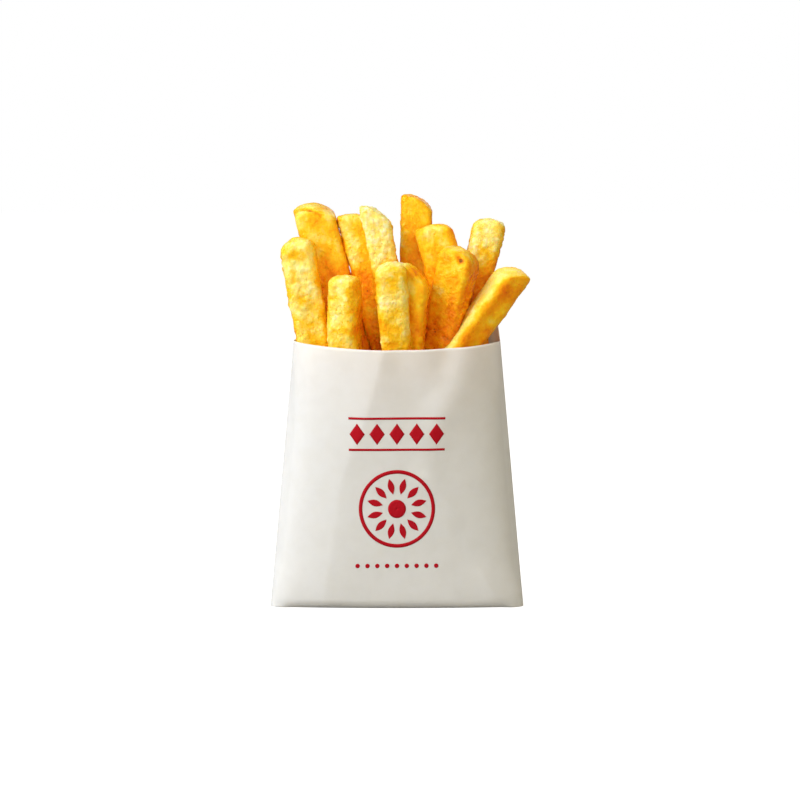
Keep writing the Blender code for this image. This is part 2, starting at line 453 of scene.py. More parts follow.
@dataclass(frozen=True)
class PaperFinish(Finish):
    """Thin white greaseproof paper, faintly cloudy, warmer where the fries have greased it."""

    name: str = "white_paper"
    clean: tuple[float, float, float] = (0.735, 0.726, 0.70)
    cloudy: tuple[float, float, float] = (0.715, 0.704, 0.674)
    greased: tuple[float, float, float] = (0.745, 0.715, 0.64)
    cloud_limits: tuple[float, float] = (0.35, 0.7)
    grease_share: float = 0.4
    clouding: float = 1.6
    smoothest: float = 0.44
    roughest: float = 0.62

    def build(self, fibres: bpy.types.NodeTree) -> bpy.types.Material:
        """Makes the material.

        Args:
            fibres: the group with the paper's grain.

        Returns:
            The material.
        """
        material, wiring, shader = self.start()
        grain = wiring.add("Group", {"node_tree": fibres}, Clouding=self.clouding).outputs
        colour = wiring.mix(
            wiring.spread(grain["Cloud"], *self.cloud_limits), self.clean, self.cloudy
        )
        grease = wiring.product(wiring.kept("grease"), self.grease_share)
        wiring.feed(shader.inputs["Base Color"], wiring.mix(grease, colour, self.greased))
        rough = wiring.spread(grain["Fibre"], *NOISE_SPAN, self.smoothest, self.roughest)
        wiring.feed(shader.inputs["Roughness"], rough)
        self.settle(
            shader,
            Specular_IOR_Level=0.25,
            Subsurface_Weight=0.55,
            Subsurface_Radius=(1.0, 0.93, 0.8),
            Subsurface_Scale=0.0007,
        )
        self.emboss(wiring, shader, grain["Height"], Strength=0.16, Distance=0.00012)
        return material


@dataclass(frozen=True)
class InkFinish(Finish):
    """Flat red ink, a little uneven where the paper took it up."""

    name: str = "red_ink"
    full: tuple[float, float, float] = (0.40, 0.001, 0.009)
    thin: tuple[float, float, float] = (0.45, 0.005, 0.016)
    thin_limits: tuple[float, float] = (0.45, 0.75)
    clouding: float = 1.6
    smoothest: float = 0.5
    roughest: float = 0.62

    def build(self, fibres: bpy.types.NodeTree) -> bpy.types.Material:
        """Makes the material.

        Args:
            fibres: the group with the paper's grain, which shows through the ink.

        Returns:
            The material.
        """
        material, wiring, shader = self.start()
        grain = wiring.add("Group", {"node_tree": fibres}, Clouding=self.clouding).outputs
        worn = wiring.spread(grain["Fibre"], *self.thin_limits)
        wiring.feed(shader.inputs["Base Color"], wiring.mix(worn, self.full, self.thin))
        rough = wiring.spread(grain["Cloud"], *NOISE_SPAN, self.smoothest, self.roughest)
        wiring.feed(shader.inputs["Roughness"], rough)
        self.settle(shader, Specular_IOR_Level=0.12)
        self.emboss(wiring, shader, grain["Height"], Strength=0.16, Distance=0.00012)
        return material


@dataclass(frozen=True)
class FriedPotatoFinish(Finish):
    """Fried potato from pale yellow to deep orange, lightly oily.

    The tone runs from 0, pale, to 1, scorched. Each field named a tone is how much a thing adds
    to it, or takes off it where the thing stands up. Part of the tone is painted shade and light:
    darker towards the fries' outlines and in the crust's hollows, paler on its tops, and the
    cream on blisters and specks is partly painted highlight.
    """

    name: str = "fried_potato"
    tones: tuple[tuple[float, tuple[float, float, float]], ...] = (
        (0.03, (0.98, 0.76, 0.16)),
        (0.33, (0.98, 0.55, 0.012)),
        (0.62, (0.98, 0.36, 0.002)),
        (0.84, (0.80, 0.17, 0.002)),
        (1.0, (0.27, 0.07, 0.006)),
    )
    # the cream of blisters and specks: partly their real paler skin, partly painted highlight
    blister: tuple[float, float, float] = (1.0, 0.91, 0.55)
    shine: tuple[float, float, float] = (1.0, 0.80, 0.20)
    crinkle: float = 2.6
    specks: float = 0.8
    patch_tone: float = 0.12
    pore_tone: float = 0.16
    edge_shade_start: float = 0.6
    edge_shade_tone: float = 0.12
    hollow_shade_tone: float = 0.05
    lifted_tone: float = 0.22
    blister_share: float = 0.7
    pale_and_highlight_limits: tuple[float, float] = (0.36, -0.1)
    height_limits: tuple[float, float] = (1.1, 2.2)
    dry_roughness: float = 0.46
    oily_roughness: float = 0.25
    smooth_relief: float = 0.4
    rough_relief: float = 0.95

    def build(self, crust: bpy.types.NodeTree) -> bpy.types.Material:
        """Makes the material.

        Args:
            crust: the group with the fried skin's grain.

        Returns:
            The material.
        """
        material, wiring, shader = self.start()
        skin = wiring.add(
            "Group", {"node_tree": crust}, Crinkle=self.crinkle, Specks=self.specks
        ).outputs
        rough = wiring.kept("rough")
        # the kept tone holds each fry's own browning together with the painted shade and light put
        # on its sides, its lower part and its creases
        tone = wiring.total(
            wiring.kept("toast"),
            wiring.spread(skin["Patch"], *NOISE_SPAN, -self.patch_tone, self.patch_tone),
        )
        tone = wiring.total(tone, wiring.product(skin["Pore"], self.pore_tone))
        # painted shade: the skin turns more orange where it turns away from the view, towards each
        # fry's outline
        slant = wiring.add("LayerWeight", Blend=0.5).outputs["Facing"]
        slant = wiring.spread(slant, self.edge_shade_start, 1.0, 0.0, self.edge_shade_tone)
        tone = wiring.total(tone, slant)
        # blisters and specks turn cream, partly their real paler skin and partly painted highlight,
        # only where the tone, with its painted shade, is low
        specks = wiring.product(skin["Speck"], rough)
        blisters = wiring.product(wiring.kept("blister"), self.blister_share)
        lifted = wiring.total(specks, blisters)
        pale_and_highlight = wiring.product(lifted, wiring.spread(tone, *self.pale_and_highlight_limits))
        # painted shade in the crust's hollows and painted light on its high points
        hollow_shade = wiring.spread(
            skin["Height"], *self.height_limits, self.hollow_shade_tone, -self.hollow_shade_tone
        )
        tone = wiring.total(tone, hollow_shade)
        # paler and cream on the blisters and specks: partly real paler skin, partly painted
        # highlight
        tone = wiring.maths("SUBTRACT", tone, wiring.product(lifted, self.lifted_tone))
        colour = wiring.mix(pale_and_highlight, self.fried(wiring, tone), self.blister)
        wiring.feed(shader.inputs["Base Color"], colour)
        damp = wiring.spread(skin["Oil"], 0.0, 1.0, self.dry_roughness, self.oily_roughness)
        wiring.feed(shader.inputs["Roughness"], damp)
        self.settle(
            shader,
            Specular_IOR_Level=0.5,
            Specular_Tint=(*self.shine, 1.0),
            Subsurface_Weight=0.38,
            Subsurface_Radius=(1.0, 0.36, 0.06),
            Subsurface_Scale=0.0022,
        )
        relief = wiring.spread(rough, 0.0, 1.0, self.smooth_relief, self.rough_relief)
        relief = wiring.product(skin["Height"], relief)
        self.emboss(wiring, shader, relief, Strength=0.85, Distance=0.0004)
        return material

    def fried(self, wiring: Wiring, tone: bpy.types.NodeSocket) -> bpy.types.NodeSocket:
        """The potato's colour for how fried it is.

        Args:
            wiring: the material's wiring.
            tone: how fried it is.

        Returns:
            The colour.
        """
        ramp = wiring.add("ValToRGB", Fac=tone)
        stops = ramp.color_ramp.elements
        (start, palest), *others, (end, darkest) = self.tones
        stops[0].position = start
        stops[0].color = (*palest, 1.0)
        stops[1].position = end
        stops[1].color = (*darkest, 1.0)
        for position, colour in others:
            stops.new(position).color = (*colour, 1.0)
        return ramp.outputs[0]


@dataclass(frozen=True)
class FloorFinish(Finish):
    """A plain white table top."""

    name: str = "studio_white"
    colour: tuple[float, float, float] = (0.36, 0.352, 0.338)
    glow: float = 0.95

    def build(self) -> bpy.types.Material:
        """Makes the material.

        Returns:
            The material, which glows for the camera alone, so that it lights nothing.
        """
        material, wiring, shader = self.start()
        white = (1.0, 1.0, 1.0, 1.0)
        self.settle(shader, Base_Color=(*self.colour, 1.0), Roughness=0.6, Emission_Color=white)
        seen = wiring.add("LightPath").outputs["Is Camera Ray"]
        wiring.feed(shader.inputs["Emission Strength"], wiring.product(seen, self.glow))
        return material


class Panel(Enum):
    """Which of the bag's two panels a mark lies on: the sign of its depth."""

    FRONT = -1.0
    BACK = 1.0


@dataclass(frozen=True)
class Fold:
    """A soft fold line in a panel: its height fades away from a line of points.

    The line's points are (across, up) in millimetres. A positive height stands out of the bag.
    A sharp fold is a tent, and the others are round.
    """

    line: tuple[tuple[float, float], ...]
    height: float
    width: float
    sharp: bool = False
    end_share: float = 1.0

    def relief(self, x: np.ndarray, z: np.ndarray) -> np.ndarray:
        """How far the fold lifts the paper at some places.

        Args:
            x: how far across each place is.
            z: how far up it is.

        Returns:
            The lift at each place, in millimetres.
        """
        nearest = np.full(np.shape(x), np.inf)
        progress = np.zeros(np.shape(x))
        steps = len(self.line) - 1
        for i, ((ax, az), (bx, bz)) in enumerate(zip(self.line, self.line[1:])):
            dx, dz = bx - ax, bz - az
            share = np.clip(((x - ax) * dx + (z - az) * dz) / (dx * dx + dz * dz), 0.0, 1.0)
            distance = np.hypot(x - ax - share * dx, z - az - share * dz)
            closer = distance < nearest
            nearest = np.where(closer, distance, nearest)
            progress = np.where(closer, (i + share) / steps, progress)
        near = nearest / self.width
        profile = np.exp(-near) if self.sharp else np.exp(-near * near)
        return self.height * blend(1.0, self.end_share, progress) * profile


FRONT_FOLDS = (
    # the border of the lit left part, from the rim down to the base
    Fold(((-3.6, 92.0), (-10.5, 68.0), (-18.5, 45.0), (-25.0, 4.0)), 2.0, 12.0, True, 0.3),
    # the soft hollow under the front fries
    Fold(((-1.0, 93.0), (2.5, 84.0), (6.5, 76.0)), -1.3, 6.5, False, 0.5),
    # the ridge that falls to the left under the right fries
    Fold(((26.0, 92.0), (21.0, 77.0), (12.0, 60.0), (10.5, 46.0)), 1.1, 6.0, False, 0.35),
    Fold(((17.0, 90.0), (14.0, 78.0)), -0.7, 4.5, False, 0.4),
    # a faint slanted edge in the right half
    Fold(((10.4, 46.6), (20.8, 31.4)), 0.35, 3.5, True, 0.5),
    # the corner ear's border
    Fold(((29.0, 13.0), (33.0, 6.0), (40.9, 1.2)), 0.45, 2.6, True, 0.8),
    Fold(((-33.5, 9.0), (-41.0, 2.0)), 0.25, 2.4, True, 0.8),
)
BACK_FOLDS = (
    Fold(((-16.0, 99.0), (-19.0, 60.0), (-13.0, 20.0)), 0.7, 8.0, True, 0.5),
    Fold(((14.0, 99.0), (9.0, 74.0)), -0.9, 6.0, False, 0.4),
    Fold(((27.0, 95.0), (21.0, 62.0), (24.0, 28.0)), 0.8, 7.0, True, 0.4),
    Fold(((-6.0, 48.0), (6.0, 34.0)), -0.4, 5.0, False, 0.6),
)


@dataclass(frozen=True)
class BagForm:
    """The outside of the bag, in millimetres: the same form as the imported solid's, with folds.

    Squareness runs from 1, an oval section, towards 0, a rectangle. The front's rim dips in
    its middle, and the back's rises behind its shoulders, which are sines of the angle round the
    bag. The crease sizes say how far the sides are drawn in and over which heights, and the ears
    are the corners of the base that the fold leaves standing.
    """

    base_half_width: float = 44.0
    mouth_half_width: float = 35.7
    base_half_depth: float = 11.5
    mouth_half_depth: float = 21.0
    depth_swell: float = 0.8
    base_squareness: float = 0.5
    mouth_squareness: float = 0.8
    base_fold: float = 3.5
    crease_height: float = 92.3
    front_dip: float = 2.1
    back_rise: float = 7.5
    back_shoulder: float = 0.3
    left_shoulder: float = 0.34
    crease_draw: float = 1.7
    crease_reach: float = 6.0
    crease_start: float = 4.0
    crease_onset: float = 14.0
    crease_end: float = 90.0
    crease_fade: float = 30.0
    ear_start: float = 35.0
    ear_full: float = 41.0
    ear_hold: float = 0.85
    calm_base: float = 0.3
    calm_reach: float = 3.0
    wave: float = 0.288
    wave_size: tuple[float, float, float] = (17.0, 30.0, 26.0)
    pucker: float = 0.072
    pucker_size: tuple[float, float, float] = (6.0, 30.0, 8.0)

    def share(self, z: np.ndarray) -> np.ndarray:
        """How far up the bag a height is, 0 at the base and 1 at the side creases' tops."""
        return np.clip(z / self.crease_height, 0.0, 1.0)

    def half_width(self, z: np.ndarray) -> np.ndarray:
        """Half of the bag's width at a height."""
        return blend(self.base_half_width, self.mouth_half_width, self.share(z))

    def half_depth(self, z: np.ndarray, across: np.ndarray) -> np.ndarray:
        """Half of the bag's depth, drawn in by the fold along the base but for the ears.

        Args:
            z: the height.
            across: how far across the place is.

        Returns:
            The half depth at each place.
        """
        depth = blend(self.base_half_depth, self.mouth_half_depth, self.share(z) ** self.depth_swell)
        turn = np.clip(1.0 - z / self.base_fold, 0.0, 1.0)
        drawn = self.base_fold * (1.0 - np.sqrt(1.0 - turn * turn))
        ear = smooth_step((np.abs(across) - self.ear_start) / (self.ear_full - self.ear_start))
        return depth - drawn * (1.0 - self.ear_hold * ear)

    def rim(self, angle: np.ndarray) -> np.ndarray:
        """Height of the cut edge.

        Args:
            angle: where round the bag: negative sines are the front, positive ones the back.

        Returns:
            The height at each angle.
        """
        side = np.sin(angle)
        front = self.crease_height - self.front_dip * side * side
        start = np.where(np.cos(angle) < 0.0, self.left_shoulder, 0.0)
        back = self.crease_height + self.back_rise * smooth_step((side - start) / self.back_shoulder)
        return np.where(side < 0.0, front, back)

    def plain(self, angle: np.ndarray, z: np.ndarray) -> np.ndarray:
        """Points of the bag without its folds.

        Args:
            angle: where round the bag.
            z: how far up.

        Returns:
            The points, with x, y and z as the array's last side.
        """
        power = blend(self.base_squareness, self.mouth_squareness, self.share(z))
        side = np.sin(angle)
        profile = np.sign(side) * np.abs(side) ** power
        width = self.half_width(z)
        y = self.half_depth(z, width * np.cos(angle)) * profile
        onset = smooth_step((z - self.crease_start) / self.crease_onset)
        drawn = self.crease_draw * onset * smooth_step((self.crease_end - z) / self.crease_fade)
        x = np.cos(angle) * (width - drawn * smooth_step(np.abs(y) / self.crease_reach))
        return np.stack((x, y, z + 0.0 * x), axis=-1)

    def folds(self, points: np.ndarray, panel: Panel) -> np.ndarray:
        """How far the folds and wrinkles of a panel lift the paper, less towards its edges.

        Args:
            points: places of the plain bag.
            panel: the front or the back.

        Returns:
            The lift at each point.
        """
        x, z = points[..., 0], points[..., 2]
        lines = FRONT_FOLDS if panel is Panel.FRONT else BACK_FOLDS
        lift = sum(fold.relief(x, z) for fold in lines)
        flat = points.reshape(-1, 3)
        rough = np.array([self.wrinkles(Vector(point)) for point in flat]).reshape(x.shape)
        edge = np.clip(np.abs(x) / self.half_width(z), 0.0, 1.0)
        calm = smooth_step((z - self.calm_base) / self.calm_reach)
        return (lift + rough) * (1.0 - edge**6) * calm

    def wrinkles(self, place: Vector) -> float:
        """The height of the paper's uneven waves and small puckers.

        Args:
            place: a point of the plain bag.

        Returns:
            The height there.
        """
        wide, deep, tall = self.wave_size
        wave = noise.noise(Vector((place.x / wide, place.y / deep, place.z / tall)))
        wide, deep, tall = self.pucker_size
        pucker = noise.noise(Vector((place.x / wide, 7.0 + place.y / deep, place.z / tall)))
        return self.wave * wave + self.pucker * pucker

    def skin(self, angle: np.ndarray, z: np.ndarray) -> tuple[np.ndarray, np.ndarray]:
        """Points of the bag with its folds.

        Args:
            angle: where round the bag.
            z: how far up.

        Returns:
            The points, and the directions out of the paper there.
        """
        turn, rise = 0.004, 0.3
        points = self.plain(angle, z)
        round_it = self.plain(angle + turn, z) - self.plain(angle - turn, z)
        up_it = self.plain(angle, z + rise) - self.plain(angle, np.maximum(z - rise, 0.0))
        out = np.cross(round_it, up_it)
        out /= np.maximum(np.linalg.norm(out, axis=-1, keepdims=True), 1e-9)
        front = self.folds(points, Panel.FRONT)
        back = self.folds(points, Panel.BACK)
        lift = np.where(np.sin(angle) < 0.0, front, back)
        return points + out * lift[..., None], out

    def on_panel(self, x: np.ndarray, z: np.ndarray, panel: Panel, lift: float) -> np.ndarray:
        """Points a little out of a panel, over places given across and up it.

        Args:
            x: how far across.
            z: how far up.
            panel: the front or the back.
            lift: how far out of the paper.

        Returns:
            The points, with x, y and z as the array's last side.
        """
        share = np.clip(x / self.half_width(z), -1.0, 1.0)
        points, out = self.skin(panel.value * np.arccos(share), z)
        return points + out * lift


@dataclass(frozen=True)
class PaperBag:
    """The bag itself: one folded sheet, its glued seam and the flap that closes its base.

    Sizes are in millimetres. The rows and columns say how finely the sheet is divided, and
    crowding how much closer its columns stand at the side creases.
    """

    form: BagForm
    paper: float = 0.22
    quarter: int = 60
    fold_rows: int = 7
    wall_rows: int = 92
    crowding: float = 1.45
    grease_depth: float = 12.0
    grease_patch: float = 9.0
    grease_spread: float = 0.45
    front_grease: float = 0.25
    seam_half: float = 5.5
    seam_start: float = 3.0
    flap_inset: float = 6.0
    flap_start: float = 3.2
    flap_height: float = 12.5
    overlap: float = 0.16
    tuck: float = 0.1
    rim_gap: float = 0.3
    strip_rows: int = 60
    column_gap: float = 1.2

    def angles(self) -> np.ndarray:
        """Angles round the bag, closer together at the side creases.

        Returns:
            The angles, from the right crease round the back, the left crease and the front.
        """
        half = 0.5 * math.pi * (np.arange(self.quarter + 1) / self.quarter) ** self.crowding
        panel = np.concatenate((half, math.pi - half[-2::-1]))
        return np.concatenate((panel[:-1], panel[:-1] + math.pi))

    def pocket(self, material: bpy.types.Material) -> bpy.types.Object:
        """The sheet: both panels and the base, open at the mouth.

        Args:
            material: the paper.

        Returns:
            The piece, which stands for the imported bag.
        """
        angle = self.angles()
        turns = np.linspace(0.0, 0.5 * math.pi, self.fold_rows, endpoint=False)
        low = self.form.base_fold * (1.0 - np.cos(turns))
        rows = [np.full(len(angle), height) for height in low]
        for share in np.linspace(0.0, 1.0, self.wall_rows):
            rows.append(blend(self.form.base_fold, self.form.rim(angle), share))
        z = np.stack(rows)
        points, _ = self.form.skin(np.broadcast_to(angle, z.shape), z)
        draft = Draft()
        first = draft.add(points, grease=self.grease(points, angle))
        columns = len(angle)
        draft.net(first, len(rows), columns, True)
        half = columns // 2
        # the flat base, closed by strips from one crease to the other
        draft.faces.append((0, 1, columns - 1))
        draft.faces.append((half, half + 1, half - 1))
        for i in range(1, half - 1):
            draft.faces.append((i, i + 1, columns - i - 1, columns - i))
        bag = draft.piece("paper_bag", material)
        shell = bag.modifiers.new("paper", "SOLIDIFY")
        shell.thickness = self.paper * MM
        shell.offset = -1.0
        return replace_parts(bag, "bag")

    def grease(self, points: np.ndarray, angle: np.ndarray) -> np.ndarray:
        """How much oil the paper has taken up: some, in patches, by the rim.

        Args:
            points: places on the paper.
            angle: where round the bag they are.

        Returns:
            The share of oil at each point.
        """
        below = self.form.rim(angle) - points[..., 2]
        reach = smooth_step(1.0 - below / self.grease_depth)
        flat = points.reshape(-1, 3)
        patch = np.array([noise.noise(Vector(point) / self.grease_patch) for point in flat])
        panel = np.where(points[..., 1] > 0.0, 1.0, self.front_grease)
        return reach * panel * smooth_step(self.grease_spread + patch.reshape(reach.shape))

    def strip(self, draft: Draft, left: float, right: float, low: float, high: float) -> None:
        """Adds a thin strip of paper that lies on the back panel.

        Args:
            draft: the piece that it goes into.
            left: where it starts across the bag.
            right: where it ends.
            low: how high it starts.
            high: how high it ends, 0 for the rim.
        """
        across = np.linspace(left, right, max(3, int(abs(right - left) / self.column_gap)))
        share = np.linspace(0.0, 1.0, self.strip_rows)[:, None]
        top = self.form.rim(np.arccos(across / self.form.mouth_half_width)) if high == 0.0 else high
        z = blend(low, np.broadcast_to(top - self.rim_gap, across.shape)[None, :], share)
        x = np.broadcast_to(across, z.shape)
        outer = self.form.on_panel(x, z, Panel.BACK, self.overlap)
        inner = self.form.on_panel(x, z, Panel.BACK, -self.tuck)
        draft.slab(outer, inner)

    def overlaps(self, material: bpy.types.Material) -> bpy.types.Object:
        """The seam down the back and the flap folded up over the base's back edge.

        Args:
            material: the paper.

        Returns:
            The piece.
        """
        draft = Draft()
        self.strip(draft, -self.seam_half, self.seam_half, self.seam_start, 0.0)
        reach = self.form.base_half_width - self.flap_inset
        self.strip(draft, -reach, reach, self.flap_start, self.flap_height)
        return draft.piece("glued_overlaps", material)


@dataclass(frozen=True)
class PanelPrint:
    """A plain red pattern on the front panel: diamonds between rules, a ring of rays and dots.

    Sizes are in millimetres, and heights are from the base.
    """

    form: BagForm
    proud: float = 0.035
    sunk: float = 0.06
    band_height: float = 61.5
    diamonds: int = 5
    diamond_gap: float = 7.0
    diamond_half_width: float = 2.7
    diamond_half_height: float = 3.7
    rule_half_width: float = 17.0
    rule_gap: float = 5.4
    rule: float = 0.8
    ring_middle: float = 35.5
    ring_outer: float = 13.6
    ring_inner: float = 12.3
    rays: int = 12
    ray_start: float = 5.2
    ray_end: float = 10.9
    ray_half_width: float = 1.15
    disc: float = 3.2
    dots: int = 9
    dot_gap: float = 3.5
    dot_radius: float = 0.8
    dot_height: float = 15.5
    pinhole: float = 0.02
    ring_points: int = 72

    def lay(self, draft: Draft, x: np.ndarray, z: np.ndarray, closed: bool = False) -> None:
        """Lays one inked shape on the paper.

        Args:
            draft: the piece that it goes into.
            x: how far across each place of its grid is.
            z: how far up it is.
            closed: whether each row's end meets its start, as in a ring.
        """
        outer = self.form.on_panel(x, z, Panel.FRONT, self.proud)
        inner = self.form.on_panel(x, z, Panel.FRONT, -self.sunk)
        draft.slab(outer, inner, closed)

    def ring(self, draft: Draft, middle: tuple[float, float], inner: float, outer: float) -> None:
        """Adds a ring, or a disc where the inner radius is next to nothing.

        Args:
            draft: the piece that it goes into.
            middle: how far across and up its middle is.
            inner: its inner radius.
            outer: its outer radius.
        """
        turns = np.linspace(0.0, 2.0 * math.pi, self.ring_points, endpoint=False)
        radius = np.linspace(inner, outer, max(2, int(outer - inner) + 2))[:, None]
        x = middle[0] + radius * np.cos(turns)
        z = middle[1] + radius * np.sin(turns)
        self.lay(draft, x, z, True)

    def ray(self, draft: Draft, turn: float) -> None:
        """Adds one ray, a leaf that points out from the middle.

        Args:
            draft: the piece that it goes into.
            turn: the way it points, anticlockwise from the right.
        """
        grown = 0.5 - 0.5 * np.cos(np.linspace(0.0, math.pi, 14))[:, None]
        along = blend(self.ray_start, self.ray_end, grown)
        half = self.ray_half_width * np.maximum(np.sin(math.pi * grown), 0.02)
        side = np.linspace(-1.0, 1.0, 7) * half
        x = along * math.cos(turn) - side * math.sin(turn)
        z = self.ring_middle + along * math.sin(turn) + side * math.cos(turn)
        self.lay(draft, x, z)

    def diamond(self, draft: Draft, middle: float) -> None:
        """Adds one diamond of the band.

        Args:
            draft: the piece that it goes into.
            middle: how far across its middle is.
        """
        share = np.linspace(0.0, 1.0, 8)
        u, v = np.meshgrid(share, share)
        x = middle + (u - v) * self.diamond_half_width
        z = self.band_height + (u + v - 1.0) * self.diamond_half_height
        self.lay(draft, x, z)

    def level_rule(self, draft: Draft, height: float) -> None:
        """Adds one level line.

        Args:
            draft: the piece that it goes into.
            height: how far up its middle is.
        """
        x, z = np.meshgrid(
            np.linspace(-self.rule_half_width, self.rule_half_width, 60),
            np.linspace(height - 0.5 * self.rule, height + 0.5 * self.rule, 3),
        )
        self.lay(draft, x, z)

    def build(self, material: bpy.types.Material) -> bpy.types.Object:
        """Prints the whole pattern as one thin piece.

        Args:
            material: the ink.

        Returns:
            The piece.
        """
        draft = Draft()
        for i in range(self.diamonds):
            self.diamond(draft, (i - (self.diamonds - 1) / 2) * self.diamond_gap)
        for side in (-1.0, 1.0):
            self.level_rule(draft, self.band_height + side * self.rule_gap)
        middle = (0.0, self.ring_middle)
        self.ring(draft, middle, self.ring_inner, self.ring_outer)
        self.ring(draft, middle, self.pinhole, self.disc)
        for i in range(self.rays):
            self.ray(draft, 2.0 * math.pi * (i + 0.5) / self.rays)
        for i in range(self.dots):
            place = ((i - (self.dots - 1) / 2) * self.dot_gap, self.dot_height)
            self.ring(draft, place, self.pinhole, self.dot_radius)
        return draft.piece("front_print", material)


@dataclass(frozen=True)
class Mark:
    """A pit or crease in a fry's front: a line between two places.

    A place is how far across the fry and how far along from its free end, in millimetres. Spill
    is how far out from its line the mark reaches, in radii, and its tone how much darker it makes
    the skin: the real brown of a pit, and painted shade along a crease.
    """

    start: tuple[float, float]
    end: tuple[float, float]
    radius: float
    depth: float
    toast: float
    spill: float = 1.3

    def press(self, across: np.ndarray, along: np.ndarray) -> np.ndarray:
        """How fully each place lies in the mark.

        Args:
            across: how far across the fry each place is.
            along: how far along from its free end.

        Returns:
            A share for each place, from 0 to 1.
        """
        dx, dz = self.end[0] - self.start[0], self.end[1] - self.start[1]
        reach = (across - self.start[0]) * dx + (along - self.start[1]) * dz
        share = np.clip(reach / max(dx * dx + dz * dz, 1e-6), 0.0, 1.0)
        off = np.hypot(across - self.start[0] - share * dx, along - self.start[1] - share * dz)
        return smooth_step(self.spill - off / self.radius)


# how finely a fry's corners, round edges and hidden part are divided, and its cap's rings
CORNER_POINTS = 14
EDGE_RINGS = 8
HIDDEN_RINGS = 8
CAP_SHARES = (0.86, 0.72, 0.58, 0.44, 0.3, 0.17, 0.06)


